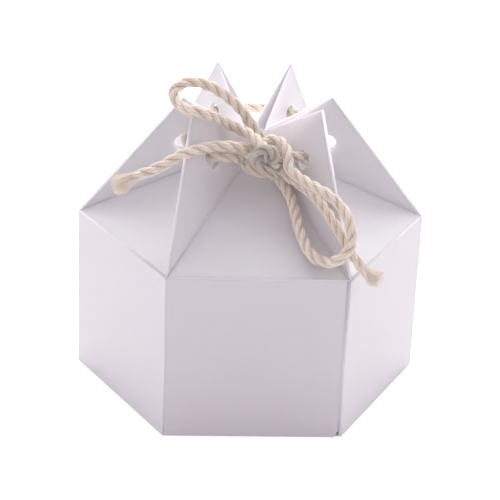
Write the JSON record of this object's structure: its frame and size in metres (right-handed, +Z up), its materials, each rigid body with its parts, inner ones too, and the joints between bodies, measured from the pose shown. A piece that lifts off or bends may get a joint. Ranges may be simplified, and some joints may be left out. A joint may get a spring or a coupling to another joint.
{
  "type": "gift box",
  "caption": "Small white card gift box with a hexagonal base; its top folds inward into a ring of pointed ears, drawn shut by a twisted cotton cord tied in a bow in front",
  "frame": {"origin": "middle of the underside of the base panel", "axes": "+Z up, front wall with the bow toward -Y, +X to the right seen from the front"},
  "size_m": [0.121, 0.1075, 0.1124],
  "materials": {
    "white_card": "satin",
    "card_inside": "matte",
    "cotton_cord": "matte"
  },
  "bodies": {
    "box": {"front_wall": "white_card", "front_right_wall": "white_card", "back_right_wall": "white_card", "back_wall": "white_card", "back_left_wall": "white_card", "front_left_wall": "white_card", "seam_glue_tab": "card_inside", "base_panel": "white_card", "front_base_tab": "card_inside", "front_right_base_tab": "card_inside", "back_right_base_tab": "card_inside", "back_left_base_tab": "card_inside", "front_left_base_tab": "card_inside"},
    "front_roof_flap": {"front_roof": "white_card"},
    "front_right_roof_flap": {"front_right_roof": "white_card"},
    "back_right_roof_flap": {"back_right_roof": "white_card"},
    "back_roof_flap": {"back_roof": "white_card"},
    "back_left_roof_flap": {"back_left_roof": "white_card"},
    "front_left_roof_flap": {"front_left_roof": "white_card"},
    "front_ear_half_left": {"front_ear_left": "white_card"},
    "front_ear_half_right": {"front_ear_right": "white_card"},
    "front_right_ear_half_left": {"front_right_ear_left": "white_card"},
    "front_right_ear_half_right": {"front_right_ear_right": "white_card"},
    "back_right_ear_half_left": {"back_right_ear_left": "white_card"},
    "back_right_ear_half_right": {"back_right_ear_right": "white_card"},
    "back_ear_half_left": {"back_ear_left": "white_card"},
    "back_ear_half_right": {"back_ear_right": "white_card"},
    "back_left_ear_half_left": {"back_left_ear_left": "white_card"},
    "back_left_ear_half_right": {"back_left_ear_right": "white_card"},
    "front_left_ear_half_left": {"front_left_ear_left": "white_card"},
    "front_left_ear_half_right": {"front_left_ear_right": "white_card"},
    "tie": {"cord_tail_left": "cotton_cord", "cord_knot": "cotton_cord", "cord_loop_right": "cotton_cord", "cord_ring_left": "cotton_cord", "cord_ring_back": "cotton_cord", "cord_ring_right": "cotton_cord", "cord_loop_left": "cotton_cord", "cord_tail_right": "cotton_cord"}
  },
  "joints": [
    {"name": "tie_lift", "type": "slide", "parent": "box", "child": "tie", "axis": [0, 0, 1], "range_m": [0, 0.1316], "deforming": ["cord_ring_left", "cord_ring_back", "cord_ring_right"]},
    {"name": "front_roof_fold", "type": "hinge", "parent": "box", "child": "front_roof_flap", "pos_m": [-0.03, -0.05196, 0.0593], "axis": [1, 0, 0], "range_deg": [0, 59.8]},
    {"name": "front_right_roof_fold", "type": "hinge", "parent": "box", "child": "front_right_roof_flap", "pos_m": [0.03, -0.05196, 0.0593], "axis": [0.5, 0.866, 0], "range_deg": [0, 61.5]},
    {"name": "back_right_roof_fold", "type": "hinge", "parent": "box", "child": "back_right_roof_flap", "pos_m": [0.06, 0, 0.0593], "axis": [-0.5, 0.866, 0], "range_deg": [0, 60.5]},
    {"name": "back_roof_fold", "type": "hinge", "parent": "box", "child": "back_roof_flap", "pos_m": [0.03, 0.05196, 0.0593], "axis": [-1, 0, 0], "range_deg": [0, 60.5]},
    {"name": "back_left_roof_fold", "type": "hinge", "parent": "box", "child": "back_left_roof_flap", "pos_m": [-0.03, 0.05196, 0.0593], "axis": [-0.5, -0.866, 0], "range_deg": [0, 60.4]},
    {"name": "front_left_roof_fold", "type": "hinge", "parent": "box", "child": "front_left_roof_flap", "pos_m": [-0.06, 0, 0.0593], "axis": [0.5, -0.866, 0], "range_deg": [0, 61.7]},
    {"name": "front_ear_fold_left", "type": "hinge", "parent": "front_roof_flap", "child": "front_ear_half_left", "pos_m": [-0.03, -0.05196, 0.0593], "axis": [0.4787, 0.7588, 0.4416], "range_deg": [-26.69, 0]},
    {"name": "front_ear_fold_right", "type": "hinge", "parent": "front_roof_flap", "child": "front_ear_half_right", "pos_m": [0.03, -0.05196, 0.0593], "axis": [-0.4787, 0.7588, 0.4416], "range_deg": [0, 29.23]},
    {"name": "front_right_ear_fold_left", "type": "hinge", "parent": "front_right_roof_flap", "child": "front_right_ear_half_left", "pos_m": [0.03, -0.05196, 0.0593], "axis": [-0.4289, 0.8004, 0.4189], "range_deg": [-73.14, 0]},
    {"name": "front_right_ear_fold_right", "type": "hinge", "parent": "front_right_roof_flap", "child": "front_right_ear_half_right", "pos_m": [0.06, 0, 0.0593], "axis": [-0.9076, -0.0288, 0.4189], "range_deg": [0, 65.53]},
    {"name": "back_right_ear_fold_left", "type": "hinge", "parent": "back_right_roof_flap", "child": "back_right_ear_half_left", "pos_m": [0.06, 0, 0.0593], "axis": [-0.9011, 0.0325, 0.4323], "range_deg": [-37.77, 0]},
    {"name": "back_right_ear_fold_right", "type": "hinge", "parent": "back_right_roof_flap", "child": "back_right_ear_half_right", "pos_m": [0.03, 0.05196, 0.0593], "axis": [-0.4224, -0.7966, 0.4323], "range_deg": [0, 51.32]},
    {"name": "back_ear_fold_left", "type": "hinge", "parent": "back_roof_flap", "child": "back_ear_half_left", "pos_m": [0.03, 0.05196, 0.0593], "axis": [-0.4787, -0.7642, 0.4323], "range_deg": [-51.32, 0]},
    {"name": "back_ear_fold_right", "type": "hinge", "parent": "back_roof_flap", "child": "back_ear_half_right", "pos_m": [-0.03, 0.05196, 0.0593], "axis": [0.4787, -0.7642, 0.4323], "range_deg": [0, 52.6]},
    {"name": "back_left_ear_fold_left", "type": "hinge", "parent": "back_left_roof_flap", "child": "back_left_ear_half_left", "pos_m": [-0.03, 0.05196, 0.0593], "axis": [0.4218, -0.7963, 0.4337], "range_deg": [-49.95, 0]},
    {"name": "back_left_ear_fold_right", "type": "hinge", "parent": "back_left_roof_flap", "child": "back_left_ear_half_right", "pos_m": [-0.06, 0, 0.0593], "axis": [0.9005, 0.0329, 0.4337], "range_deg": [0, 33.72]},
    {"name": "front_left_ear_fold_left", "type": "hinge", "parent": "front_left_roof_flap", "child": "front_left_ear_half_left", "pos_m": [-0.06, 0, 0.0593], "axis": [0.9088, -0.028, 0.4162], "range_deg": [-69.54, 0]},
    {"name": "front_left_ear_fold_right", "type": "hinge", "parent": "front_left_roof_flap", "child": "front_left_ear_half_right", "pos_m": [-0.03, -0.05196, 0.0593], "axis": [0.4301, 0.8011, 0.4162], "range_deg": [0, 75.72]}
  ],
  "couplings": [
    {"joint": "front_roof_fold", "follows": "tie_lift", "rad_per_m": 7.9309},
    {"joint": "front_right_roof_fold", "follows": "tie_lift", "rad_per_m": 8.1563},
    {"joint": "back_right_roof_fold", "follows": "tie_lift", "rad_per_m": 8.0237},
    {"joint": "back_roof_fold", "follows": "tie_lift", "rad_per_m": 8.0237},
    {"joint": "back_left_roof_fold", "follows": "tie_lift", "rad_per_m": 8.0104},
    {"joint": "front_left_roof_fold", "follows": "tie_lift", "rad_per_m": 8.1828},
    {"joint": "front_ear_fold_left", "follows": "tie_lift", "rad_per_m": -3.5401},
    {"joint": "front_ear_fold_right", "follows": "tie_lift", "rad_per_m": 3.8772},
    {"joint": "front_right_ear_fold_left", "follows": "tie_lift", "rad_per_m": -9.7007},
    {"joint": "front_right_ear_fold_right", "follows": "tie_lift", "rad_per_m": 8.6901},
    {"joint": "back_right_ear_fold_left", "follows": "tie_lift", "rad_per_m": -5.0095},
    {"joint": "back_right_ear_fold_right", "follows": "tie_lift", "rad_per_m": 6.8065},
    {"joint": "back_ear_fold_left", "follows": "tie_lift", "rad_per_m": -6.8065},
    {"joint": "back_ear_fold_right", "follows": "tie_lift", "rad_per_m": 6.9765},
    {"joint": "back_left_ear_fold_left", "follows": "tie_lift", "rad_per_m": -6.6249},
    {"joint": "back_left_ear_fold_right", "follows": "tie_lift", "rad_per_m": 4.4714},
    {"joint": "front_left_ear_fold_left", "follows": "tie_lift", "rad_per_m": -9.2223},
    {"joint": "front_left_ear_fold_right", "follows": "tie_lift", "rad_per_m": 10.043}
  ]
}
